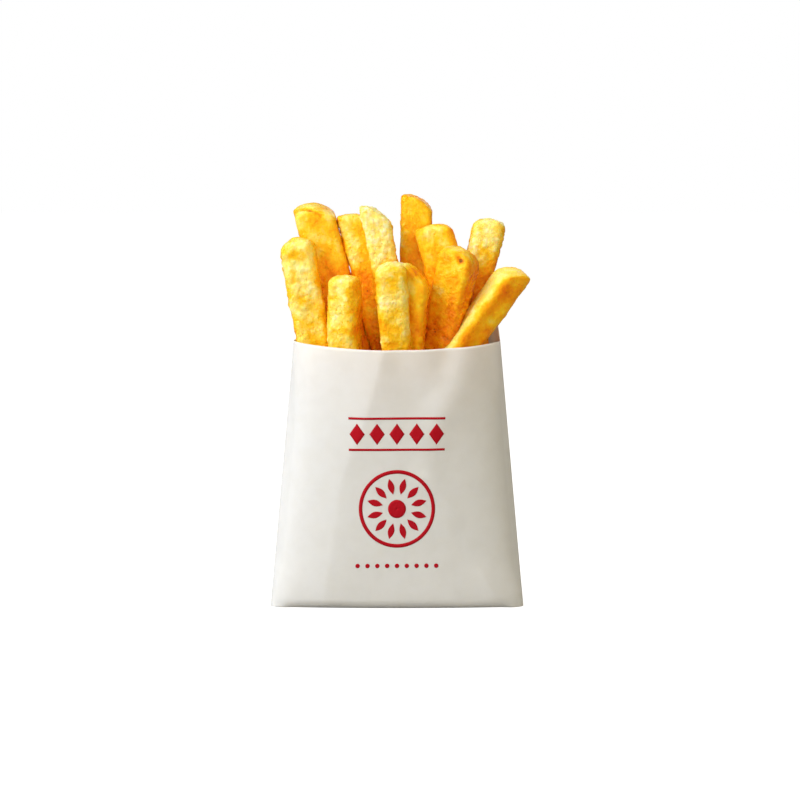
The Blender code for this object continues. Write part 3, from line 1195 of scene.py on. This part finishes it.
@dataclass(frozen=True)
class Fry:
    """One fry, in millimetres and degrees.

    The end is the middle of its free end. Cut is how much higher the cut's left edge is than its
    middle, facing how much lower its front edge is, and swell how far it bulges. Bow bends the
    fry to the right, and skew slants its section. Taper is how much narrower the fry is at the
    taper's reach from its end, and twist its turn over the twist's reach. Edge and corner are the
    radii round its end and along its sides. The tones are painted shade and light on the front,
    right, back and left sides, added on the scale from 0, pale, to 1, brown: more on the sides
    turned from the key light. The foot's tone is painted shade added to the part below foot_top,
    deeper in the bag.
    """

    end: tuple[float, float, float]
    lean: float
    pitch: float
    width: float
    depth: float
    length: float
    cut: float = 0.0
    turn: float = 0.0
    bow: float = 0.0
    facing: float = 0.0
    swell: float = 0.3
    edge: float = 2.0
    corner: float = 2.4
    skew: float = 0.0
    taper: float = 0.0
    twist: float = 0.0
    tone: float = 0.3
    # painted shade and light on the front, right, back and left sides
    tones: tuple[float, float, float, float] = (0.0, 0.1, 0.05, 0.0)
    blisters: float = 0.5
    # painted shade: more tone on the part of the fry below foot_top, deeper in the bag
    foot_shade_tone: float = 0.15
    foot_top: float = 120.0
    foot_reach: float = 30.0
    marks: tuple[Mark, ...] = ()
    taper_reach: float = 40.0
    twist_reach: float = 30.0
    swell_reach: float = 7.0
    cut_share: float = 0.3
    dome: float = 0.5

    def placing(self) -> np.ndarray:
        """The fry's own directions in the bag's frame.

        Returns:
            An array whose columns are the fry's across, deep and along.
        """
        lean = Matrix.Rotation(math.radians(self.lean), 3, "Y")
        pitch = Matrix.Rotation(math.radians(-self.pitch), 3, "X")
        turn = Matrix.Rotation(math.radians(self.turn), 3, "Z")
        return np.array(lean @ pitch @ turn)

    def section(self, count: int) -> np.ndarray:
        """Evenly spaced points round the fry's section, a rectangle with round corners.

        Args:
            count: how many points.

        Returns:
            An array of points, each how far across and how deep.
        """
        outline = []
        right = 0.5 * self.width - self.corner
        rear = 0.5 * self.depth - self.corner
        corners = ((right, rear), (-right, rear), (-right, -rear), (right, -rear))
        for quarter, (x, y) in enumerate(corners):
            start = 0.5 * math.pi * quarter
            for turn in np.linspace(start, start + 0.5 * math.pi, CORNER_POINTS):
                across = x + self.corner * math.cos(turn)
                outline.append((across, y + self.corner * math.sin(turn)))
        outline.append(outline[0])
        line = np.array(outline)
        line[:, 0] *= 1.0 + self.skew * line[:, 1] / self.depth
        length = np.concatenate(([0.0], np.cumsum(np.linalg.norm(np.diff(line, axis=0), axis=1))))
        even = np.linspace(0.0, length[-1], count, endpoint=False)
        return np.stack([np.interp(even, length, line[:, i]) for i in range(2)], axis=1)

    def rings(self, shown: float, spacing: float) -> np.ndarray:
        """Where each ring lies and how much it is drawn in, from the hidden end to the free one.

        Args:
            shown: how much of the fry's length has close rings.
            spacing: how far apart those rings are.

        Returns:
            An array of rows: how far along, how far drawn in, and the share of the cap's size.
        """
        edge = self.edge
        turns = np.linspace(0.0, 0.5 * math.pi, EDGE_RINGS)[1:]
        start = [(-self.length, 0.6 * edge, 0.4), (-self.length, 0.6 * edge, 1.0)]
        start.append((edge - self.length, 0.0, 1.0))
        hidden = np.linspace(1.5 * edge - self.length, -shown, HIDDEN_RINGS, endpoint=False)
        close = np.linspace(-shown, -edge, max(4, int((shown - edge) / spacing)))
        body = [(along, 0.0, 1.0) for along in (*hidden, *close)]
        rounded = [(edge * (math.sin(t) - 1.0), edge * (1.0 - math.cos(t)), 1.0) for t in turns]
        cap = [(0.0, edge, share) for share in CAP_SHARES]
        return np.array(start + body + rounded + cap)

    def surface(self, count: int, shown: float, spacing: float) -> tuple[np.ndarray, np.ndarray]:
        """The fry's skin in its own frame, before its bumps.

        Args:
            count: how many points each ring has.
            shown: how much of the fry's length has close rings.
            spacing: how far apart those rings are.

        Returns:
            The grid of points, and how far along the fry each ring was before its cut was slanted.
        """
        section = self.section(count)
        rings = self.rings(shown, spacing)
        along, inset, share = (rings[:, i][:, None] for i in range(3))
        half_width, half_depth = 0.5 * self.width, 0.5 * self.depth
        x = section[:, 0] * (1.0 - inset / half_width) * share
        y = section[:, 1] * (1.0 - inset / half_depth) * share
        domed = along + self.dome * (1.0 - share * share) * (along > -1.0)
        near_end = smooth_step(1.0 + along / (self.cut_share * self.length))
        close_end = smooth_step(1.0 + along / self.swell_reach)
        slant = (-self.cut * x / half_width + self.facing * y / half_depth) * near_end
        bulge = self.swell * (1.0 - (x / half_width) ** 2) * close_end
        bow = self.bow * np.sin(math.pi * np.clip(-along / self.length, 0.0, 1.0))
        slim = 1.0 - self.taper * np.clip(-along / self.taper_reach, 0.0, 1.0)
        twist = math.radians(self.twist) * np.clip(1.0 + along / self.twist_reach, 0.0, 1.0)
        x, y = x * slim, y * slim
        across = x * np.cos(twist) - y * np.sin(twist)
        deep = x * np.sin(twist) + y * np.cos(twist)
        grid = np.stack((across + bow, deep, domed + slant + bulge), axis=-1)
        return grid, along[:, 0]


@dataclass(frozen=True)
class FryCrust:
    """The fries' uneven surface: how high and how wide its waves, blisters and grains are.

    Heights and sizes are in millimetres. The tones are how much more fried the skin is in its
    patches and on its lumps, and how much less on its waves.
    """

    wave: float = 0.45
    wave_size: float = 12.0
    lump: float = 0.28
    lump_size: float = 4.4
    blister: float = 0.42
    blister_gap: float = 2.1
    blister_radius: float = 0.5
    blister_warp: float = 0.25
    blistered_size: float = 8.0
    blistered_gain: float = 1.2
    grain: float = 0.13
    grain_size: float = 0.95
    patch_size: float = 5.5
    patch_tone: float = 0.28
    lump_tone: float = 0.16
    wave_tone: float = 0.1

    def at(self, place: Vector, blisters: float) -> tuple[float, float, float]:
        """The crust at one place.

        Args:
            place: a point of the fry's own frame, moved to a part of the noise of its own.
            blisters: how blistered the fry is, 0 to 1.

        Returns:
            How high the surface stands, how much of that is a blister, and how fried it is.
        """
        wave = noise.noise(place / self.wave_size)
        lump = noise.noise(place / self.lump_size + Vector((9.0, 2.0, 5.0)))
        grain = noise.noise(place / self.grain_size)
        blistered = noise.noise(place / self.blistered_size + Vector((3.0, 8.0, 1.0)))
        blistered = float(smooth_step(self.blistered_gain * blistered + blisters))
        warp = self.blister_warp * Vector((lump, grain, wave))
        nearest = noise.voronoi(place / self.blister_gap + warp)[0][0]
        bubble = max(0.0, 1.0 - (nearest / self.blister_radius) ** 2) * blistered
        height = self.wave * wave + self.lump * lump + self.blister * bubble + self.grain * grain
        patch = noise.noise(place / self.patch_size + Vector((1.0, 4.0, 7.0)))
        fried = self.patch_tone * patch + self.lump_tone * lump - self.wave_tone * wave
        return height, bubble, fried


@dataclass
class FryHeap:
    """All the fries: the tall ones that show, the short ones below the rim and the core.

    Only the part of a fry that stands near or above the rim has close rings and bumps: the shown
    part. A tone above the browning level is held back, so that none turns black.
    """

    form: BagForm
    crust: FryCrust = field(default_factory=FryCrust)
    seed: int = 7
    rim_level: float = 84.0
    shown_below: float = 9.0
    shown_least: float = 12.0
    shown_share: float = 0.8
    bumps_below: float = 3.0
    browning: float = 0.5
    browning_room: float = 0.3
    tall_count: int = 64
    tall_spacing: float = 0.66
    short_count: int = 28
    short_spacing: float = 1.6
    short_rows: tuple[float, ...] = (-1.0, 0.0, 1.0)
    short_columns: int = 6
    short_reach: float = 26.0
    short_jitter: float = 1.2
    short_tops: tuple[float, float] = (72.0, 86.0)
    short_widths: tuple[float, float] = (8.5, 12.0)
    short_depth: float = 8.5
    short_length: float = 40.0
    short_turn: float = 40.0
    short_lean: float = 0.35
    short_pitch: float = 0.6
    short_tone: float = 0.25
    short_tone_span: float = 0.2
    wall_gap: float = 7.5
    core_inset: float = 2.4
    core_top: float = 58.0
    core_columns: int = 72
    core_rows: int = 26
    core_tone: float = 0.45

    def add_fry(self, draft: Draft, fry: Fry, number: int, count: int, spacing: float) -> None:
        """Adds one fry with its bumps to a draft.

        Args:
            draft: the piece that it goes into.
            fry: the fry.
            number: its place in the heap, which picks its bumps.
            count: how many points go round it.
            spacing: how far apart its rings are where it shows.
        """
        placing = fry.placing()
        above = (fry.end[2] - self.rim_level) / placing[2, 2]
        shown = min(self.shown_share * fry.length, above + self.shown_below)
        grid, along = fry.surface(count, max(shown, self.shown_least), spacing)
        out = self.outward(grid)
        turned = grid @ np.array(Matrix.Rotation(math.radians(fry.turn), 3, "Z")).T
        shift = Vector((31.0, 17.0, 23.0)) * number
        heights = np.zeros(grid.shape[:2])
        blister = np.zeros(grid.shape[:2])
        toast = np.zeros(grid.shape[:2])
        for row, column in np.ndindex(*grid.shape[:2]):
            if along[row] < -shown - self.bumps_below:
                continue
            crust = self.crust.at(Vector(grid[row, column]) + shift, fry.blisters)
            heights[row, column], blister[row, column], toast[row, column] = crust
        # painted shade and light: each side made darker or paler for how the key light falls on it
        toast += fry.tone + self.side_shade_tone(fry, out)
        # painted shade: the lower part of each fry, deeper in the bag, is made darker
        height = fry.end[2] + grid[..., 2] * placing[2, 2]
        toast += fry.foot_shade_tone * smooth_step((fry.foot_top - height) / fry.foot_reach)
        held = self.browning_room * np.tanh((toast - self.browning) / self.browning_room)
        toast = np.where(toast > self.browning, self.browning + held, toast)
        # darker in the marks: the real brown of a pit, and painted shade along a crease
        for mark in fry.marks:
            pit = mark.press(turned[..., 0], grid[..., 2]) * (turned[..., 1] < 0.0)
            heights -= mark.depth * pit
            toast += mark.toast * pit
            blister *= 1.0 - pit
        placed = (grid + out * heights[..., None]) @ placing.T + np.array(fry.end)
        rough = np.full(toast.shape, max(0.0, fry.blisters))
        first = draft.add(placed, toast=toast, blister=blister, rough=rough)
        rows = len(placed)
        draft.net(first, rows, count, True)
        for ring, row in ((first, placed[0]), (first + (rows - 1) * count, placed[-1])):
            at_end = ring != first
            middle = draft.add(
                row.mean(axis=0),
                toast=toast[-1 if at_end else 0].mean(),
                blister=blister[-1 if at_end else 0].mean(),
                rough=rough[0, 0],
            )
            draft.fan(ring, count, middle)

    @staticmethod
    def outward(grid: np.ndarray) -> np.ndarray:
        """The directions out of a fry's skin.

        Args:
            grid: the skin's points, a row for each ring.

        Returns:
            The direction at each point.
        """
        across = np.roll(grid, -1, axis=1) - np.roll(grid, 1, axis=1)
        along = np.gradient(grid, axis=0)
        out = np.cross(across, along)
        return out / np.maximum(np.linalg.norm(out, axis=-1, keepdims=True), 1e-9)

    @staticmethod
    def side_shade_tone(fry: Fry, out: np.ndarray) -> np.ndarray:
        """Painted shade and light: how much darker the skin is made for the side that it lies on.

        Args:
            fry: the fry.
            out: the directions out of its skin.

        Returns:
            The tone to add at each point.
        """
        across, deep = out[..., 0], out[..., 1]
        facings = (-deep, across, deep, -across)
        return sum(
            tone * np.clip(facing, 0.0, 1.0) ** 2 for tone, facing in zip(fry.tones, facings)
        )

    def short_fries(self) -> list[Fry]:
        """The fries that stay below the rim, in uneven rows across the mouth.

        Returns:
            The fries, the front row first.
        """
        random.seed(self.seed)
        fries = []
        for deep in self.short_rows:
            for share in np.linspace(-1.0, 1.0, self.short_columns):
                jitter = random.uniform(-self.short_jitter, self.short_jitter)
                x = float(share) * self.short_reach + jitter
                top = random.uniform(*self.short_tops)
                angle = math.acos(x / float(self.form.half_width(np.array(top))))
                wall = float(self.form.plain(np.array(angle), np.array(top))[1])
                jitter = random.uniform(-self.short_jitter, self.short_jitter)
                y = deep * (wall - self.wall_gap) + jitter
                fries.append(
                    Fry(
                        end=(x, y, top),
                        lean=self.short_lean * x,
                        pitch=self.short_pitch * y,
                        width=random.uniform(*self.short_widths),
                        depth=self.short_depth,
                        length=self.short_length,
                        turn=random.uniform(-self.short_turn, self.short_turn),
                        tone=self.short_tone + self.short_tone_span * math.sin(3.0 * x + y),
                    )
                )
        return fries

    def build(self, material: bpy.types.Material) -> bpy.types.Object:
        """All the whole fries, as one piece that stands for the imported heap.

        Args:
            material: the fried potato.

        Returns:
            The piece.
        """
        draft = Draft()
        for number, fry in enumerate(TALL_FRIES):
            self.add_fry(draft, fry, number, self.tall_count, self.tall_spacing)
        for number, fry in enumerate(self.short_fries(), len(TALL_FRIES)):
            self.add_fry(draft, fry, number, self.short_count, self.short_spacing)
        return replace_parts(draft.piece("whole_fries", material), "fries")

    def core(self, material: bpy.types.Material) -> bpy.types.Object:
        """The plug of packed potato that the fries stand in, hidden low in the bag.

        Args:
            material: the fried potato.

        Returns:
            The piece.
        """
        angle = np.linspace(0.0, 2.0 * math.pi, self.core_columns, endpoint=False)
        rows = np.linspace(0.0, 1.0, self.core_rows)[:, None]
        z = blend(self.core_inset, self.core_top, rows) + 0.0 * angle
        plain = self.form.plain(np.broadcast_to(angle, z.shape), z)
        from_middle = np.maximum(np.hypot(plain[..., 0], plain[..., 1]), 6.0)
        from_side = np.maximum(np.abs(plain[..., 1]), 4.0)
        plain[..., 0] *= 1.0 - self.core_inset / from_middle
        plain[..., 1] *= np.clip(1.0 - self.core_inset / from_side, 0.0, 1.0)
        draft = Draft()
        toast = np.full(z.shape, self.core_tone)
        first = draft.add(plain, toast=toast, blister=0.0 * toast, rough=toast)
        draft.net(first, len(z), len(angle), True)
        values = {"toast": self.core_tone, "blister": 0.0, "rough": self.core_tone}
        for ring, level in ((first, z[0, 0]), (first + (len(z) - 1) * len(angle), z[-1, 0])):
            middle = draft.add(np.array((0.0, 0.0, level)), **values)
            draft.fan(ring, len(angle), middle)
        return draft.piece("fries_core", material)


TALL_FRIES = (
    # the front row, from left to right
    Fry(
        (-34.8, -2.5, 125.6), -10.4, -2.0, 12.0, 9.0, 80.0, cut=0.1, swell=1.7, edge=3.0,
        corner=3.0, tone=0.13, tones=(0.05, 0.3, 0.1, 0.05), blisters=0.5, skew=0.05,
    ),
    Fry(
        (-17.9, -11.5, 114.2), -0.5, -6.0, 10.4, 10.5, 72.0, cut=-0.2, turn=-20.0, swell=0.4,
        edge=1.9, corner=3.1, tone=0.16, tones=(0.0, 0.36, 0.2, -0.04), blisters=0.8, skew=-0.04,
    ),
    Fry(
        (-2.2, -14.0, 118.0), -5.0, -7.0, 10.8, 10.5, 76.0, cut=-0.2, bow=-0.6, swell=1.1, edge=2.0,
        corner=2.6, tone=0.12, tones=(0.05, 0.2, 0.1, 0.1), blisters=0.7, taper=0.06,
    ),
    Fry(
        (21.8, -7.5, 122.6), 11.6, -9.0, 12.4, 10.5, 82.0, cut=1.0, turn=-25.0, swell=1.2,
        edge=2.7, corner=2.0, tone=0.3, tones=(0.06, 0.45, 0.2, 0.0), blisters=0.6, foot_shade_tone=0.62,
        marks=(
            Mark((-0.4, -0.8), (0.8, -1.5), 1.35, 0.45, 0.42),
            Mark((0.2, -2.3), (0.4, -1.0), 0.6, 0.35, 0.35),
        ),
    ),
    Fry(
        (39.8, -5.5, 114.9), 36.0, 1.0, 10.8, 9.6, 80.0, cut=-2.8, turn=26.0, twist=4.0, swell=1.9,
        edge=1.3, corner=2.9, tone=0.13, tones=(0.4, 0.35, 0.2, -0.1), blisters=0.25, taper=0.05,
        foot_shade_tone=0.05,
    ),
    # the middle row
    Fry(
        (-28.8, 5.5, 136.2), -15.0, 1.0, 13.85, 10.5, 92.0, cut=2.0, swell=2.4, facing=1.6,
        edge=1.5, corner=2.4, tone=0.2, tones=(0.1, 0.4, 0.2, 0.1), blisters=0.3, foot_shade_tone=0.58,
        foot_top=132.0, taper=0.03,
        marks=(
            Mark((-3.6, 2.5), (-0.8, 1.2), 0.6, 0.4, 0.5),
            Mark((-0.8, 1.2), (2.4, -1.8), 0.5, 0.35, 0.35),
        ),
    ),
    Fry(
        (-15.9, 6.0, 134.9), -15.2, 1.0, 9.8, 9.5, 86.0, cut=1.2, bow=0.8, swell=0.3, edge=1.5,
        corner=2.2, tone=0.27, tones=(0.0, 0.2, 0.2, 0.1), blisters=0.75, foot_shade_tone=0.42,
        foot_top=134.0, taper=-0.3,
    ),
    Fry(
        (-7.4, 2.0, 135.4), -12.5, -1.0, 9.8, 8.5, 76.0, cut=3.9, bow=-0.8, swell=1.7, edge=1.1,
        corner=2.0, tone=-0.16, tones=(0.0, 0.2, 0.2, 0.15), blisters=1.0, foot_shade_tone=0.6, taper=0.2,
        foot_top=137.0,
    ),
    Fry(
        (6.6, -12.0, 115.8), 2.5, -5.0, 9.8, 8.5, 70.0, cut=3.9, turn=-12.0, swell=1.0, edge=1.6,
        corner=2.4, tone=0.34, tones=(0.0, 0.2, 0.2, 0.0), blisters=0.3, foot_shade_tone=0.3, taper=0.45,
    ),
    Fry(
        (12.4, 4.5, 130.8), -16.0, 2.0, 12.6, 9.0, 60.0, cut=0.9, swell=0.8, edge=2.0,
        corner=2.6, tone=0.34, tones=(0.0, 0.3, 0.2, 0.1), blisters=0.35, foot_shade_tone=0.35,
        foot_top=130.0, taper=-0.2,
    ),
    # the back row
    Fry(
        (6.8, 15.0, 139.8), 0.5, 6.0, 11.0, 10.0, 92.0, cut=2.5, swell=1.4, facing=0.8, edge=1.4,
        corner=2.1, tone=0.4, tones=(0.05, 0.2, 0.2, 0.0), blisters=0.4, foot_shade_tone=0.1,
        foot_top=138.0,
    ),
    Fry(
        (32.4, 8.0, 133.1), 13.0, 3.0, 11.2, 10.0, 84.0, cut=-0.5, swell=0.6, edge=2.6,
        corner=2.9, tone=-0.02, tones=(0.0, 0.42, 0.2, 0.05), blisters=0.85, foot_shade_tone=0.7,
        foot_top=136.0,
    ),
    # a short one that just shows between the others
    Fry(
        (-9.2, 6.5, 104.0), -4.0, -1.0, 8.4, 9.0, 54.0, cut=-1.5, swell=0.6, tone=0.28,
        tones=(0.0, 0.2, 0.2, 0.0), blisters=0.8,
    ),
)


@dataclass(frozen=True)
class SoftLight:
    """A soft square light that looks at the bag, in metres and watts."""

    name: str
    place: tuple[float, float, float]
    size: float
    watts: float
    colour: tuple[float, float, float] = (1.0, 1.0, 1.0)
    aim_height: float = 0.07

    def hang(self) -> None:
        """Hangs the light in the scene."""
        lamp = bpy.data.lights.new(self.name, "AREA")
        lamp.size = self.size
        lamp.energy = self.watts
        lamp.color = self.colour
        obj = bpy.data.objects.new(self.name, lamp)
        obj.location = self.place
        aim = Vector((0.0, 0.0, self.aim_height)) - obj.location
        obj.rotation_mode = "QUATERNION"
        obj.rotation_quaternion = aim.to_track_quat("-Z", "Y")
        bpy.context.scene.collection.objects.link(obj)


COOL_LIGHT = (0.97, 0.99, 1.03)
WARM_LIGHT = (1.0, 0.915, 0.72)
LIGHTS = (
    SoftLight("key", (-1.12, -0.62, 0.8), 1.0, 25.5, COOL_LIGHT),
    SoftLight("fill", (1.15, -0.62, 0.5), 0.8, 4.2, WARM_LIGHT),
    SoftLight("top", (-0.1, -0.15, 1.2), 0.8, 4.5),
    SoftLight("front", (0.05, -1.15, 0.22), 0.4, 2.9, WARM_LIGHT),
    SoftLight("back", (0.5, 1.1, 0.7), 0.8, 2.5),
)


@dataclass(frozen=True)
class Studio:
    """The white table, the backdrop and the camera, in metres and degrees.

    The camera has the photo's angle. Scale is the size of one of its pixels at the bag, and the
    middle column and base row are the pixels that the middle of the bag's base falls on.
    """

    scale: float = 0.3465e-3
    middle_column: float = 397.0
    base_row: float = 605.5
    elevation: float = 5.0
    distance: float = 1.0
    picture: int = 800
    sensor: float = 36.0
    ambient: float = 0.16
    table_reach: float = 6.0
    table_drop: float = 0.00002

    def camera(self) -> None:
        """Places the camera in front of the bag and a little above it."""
        tilt = math.radians(self.elevation)
        half = 0.5 * self.picture
        across = (half - self.middle_column) * self.scale
        up = (self.base_row - half) * self.scale / math.cos(tilt)
        back = Vector((0.0, -math.cos(tilt), math.sin(tilt)))
        camera = bpy.data.objects.new("camera", bpy.data.cameras.new("camera"))
        camera.location = Vector((across, 0.0, up)) + back * self.distance
        camera.rotation_mode = "QUATERNION"
        camera.rotation_quaternion = (-back).to_track_quat("-Z", "Y")
        camera.data.sensor_width = self.sensor
        camera.data.lens = self.sensor * self.distance / (self.picture * self.scale)
        bpy.context.scene.collection.objects.link(camera)
        bpy.context.scene.camera = camera

    def floor(self, material: bpy.types.Material) -> None:
        """Lays the table top.

        Args:
            material: its finish.
        """
        draft = Draft()
        sides = (-self.table_reach / MM, self.table_reach / MM)
        x, y = np.meshgrid(sides, sides)
        first = draft.add(np.stack((x, y, 0.0 * x - self.table_drop / MM), axis=-1))
        draft.net(first, 2, 2, False)
        draft.piece("table_top", material)

    def world(self) -> None:
        """A white backdrop for the camera and a weaker warm glow for everything else."""
        world = bpy.data.worlds.new("backdrop")
        world.use_nodes = True
        wiring = Wiring(world.node_tree)
        glow = world.node_tree.nodes["Background"]
        glow.inputs["Color"].default_value = (*WARM_LIGHT, 1.0)
        glow.inputs["Strength"].default_value = self.ambient
        white = wiring.add("Background", Color=(1.0, 1.0, 1.0), Strength=1.0)
        seen = wiring.add("LightPath").outputs["Is Camera Ray"]
        both = wiring.add("MixShader")
        wiring.feed(both.inputs[0], seen)
        wiring.feed(both.inputs[1], glow.outputs[0])
        wiring.feed(both.inputs[2], white.outputs[0])
        wiring.feed(world.node_tree.nodes["World Output"].inputs["Surface"], both.outputs[0])
        bpy.context.scene.world = world

    def build(self, material: bpy.types.Material) -> None:
        """Sets up the whole studio.

        Args:
            material: the table top's finish.
        """
        self.camera()
        self.floor(material)
        for light in LIGHTS:
            light.hang()
        self.world()
        bpy.context.scene.view_settings.view_transform = "Standard"


def put(piece: bpy.types.Object) -> None:
    """Fixes a piece to the bag's body and logs how many faces it has.

    Args:
        piece: the piece.
    """
    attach(piece, "root")
    LOG.info("%s: %d faces", piece.name, len(piece.data.polygons))


def main() -> None:
    """Builds the bag, its print, the fries and the studio, in that order."""
    logging.basicConfig(level=logging.INFO, format="%(name)s: %(message)s")
    fibres = PaperFibres().build()
    paper = PaperFinish().build(fibres)
    ink = InkFinish().build(fibres)
    potato = FriedPotatoFinish().build(PotatoCrust().build())
    form = BagForm()
    bag = PaperBag(form)
    put(bag.pocket(paper))
    put(bag.overlaps(paper))
    put(PanelPrint(form).build(ink))
    heap = FryHeap(form)
    put(heap.build(potato))
    put(heap.core(potato))
    Studio().build(FloorFinish().build())


if __name__ == "__main__":
    main()
